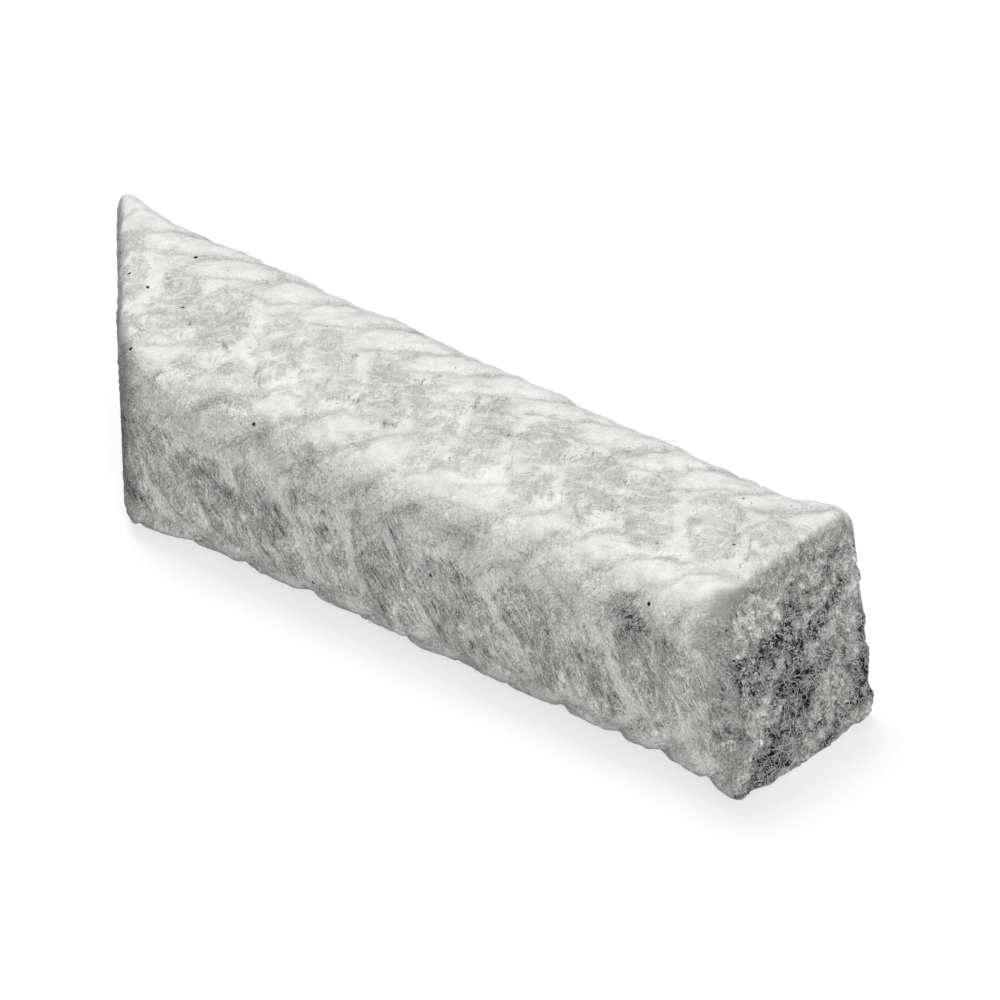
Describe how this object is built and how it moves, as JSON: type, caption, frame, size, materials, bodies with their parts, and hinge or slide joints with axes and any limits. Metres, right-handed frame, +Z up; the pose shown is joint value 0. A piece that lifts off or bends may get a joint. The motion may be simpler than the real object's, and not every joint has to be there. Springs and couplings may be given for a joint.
{
  "type": "braided gland packing length",
  "caption": "Straight cut length of square braided fibre packing that seals a shaft or valve stem in its stuffing box.",
  "frame": {"origin": "bottom centre of the bounding box, on the surface the packing lies on", "axes": "+X along the packing towards its butt cut end, -Y the front face, +Z up"},
  "size_m": [0.0532, 0.012, 0.012],
  "materials": {
    "braided_fibre": "matt, felted, pale grey-white fibre with darker pressed stitches"
  },
  "bodies": {
    "root": {"braided_packing": "braided_fibre"}
  },
  "joints": []
}
